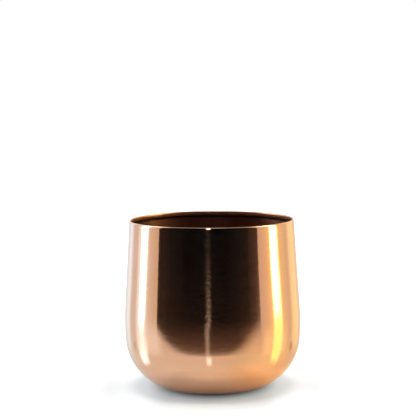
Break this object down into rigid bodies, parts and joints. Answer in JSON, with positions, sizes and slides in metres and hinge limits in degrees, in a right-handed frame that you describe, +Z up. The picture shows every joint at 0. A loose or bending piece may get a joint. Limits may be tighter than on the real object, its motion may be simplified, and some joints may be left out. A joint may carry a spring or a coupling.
{
  "type": "planter pot",
  "caption": "Round spun-metal planter pot with a tapered wall, full rounded belly, folded rim, flat base on rubber bumpers, and a lift-out plastic liner with drain holes.",
  "frame": {"origin": "on the pot's axis, on the surface that the bumpers stand on", "axes": "+Z up along the pot's axis; the pot is round, so X and Y are free, and the bumpers lie on the diagonals between them"},
  "size_m": [0.1614, 0.1614, 0.1535],
  "materials": {
    "pot_metal": "copper-coloured plate, polished and finely brushed round the pot, clear lacquered",
    "liner_plastic": "thin black moulded plastic",
    "pad_rubber": "matt self-adhesive bumper"
  },
  "bodies": {
    "pot": {"pot_shell": "pot_metal", "base_pad_1": "pad_rubber", "base_pad_2": "pad_rubber", "base_pad_3": "pad_rubber", "base_pad_4": "pad_rubber"},
    "liner": {"inner_liner": "liner_plastic"}
  },
  "joints": [
    {"name": "liner_lift", "type": "slide", "parent": "pot", "child": "liner", "axis": [0, 0, 1], "range_m": [0, 0.16]}
  ]
}
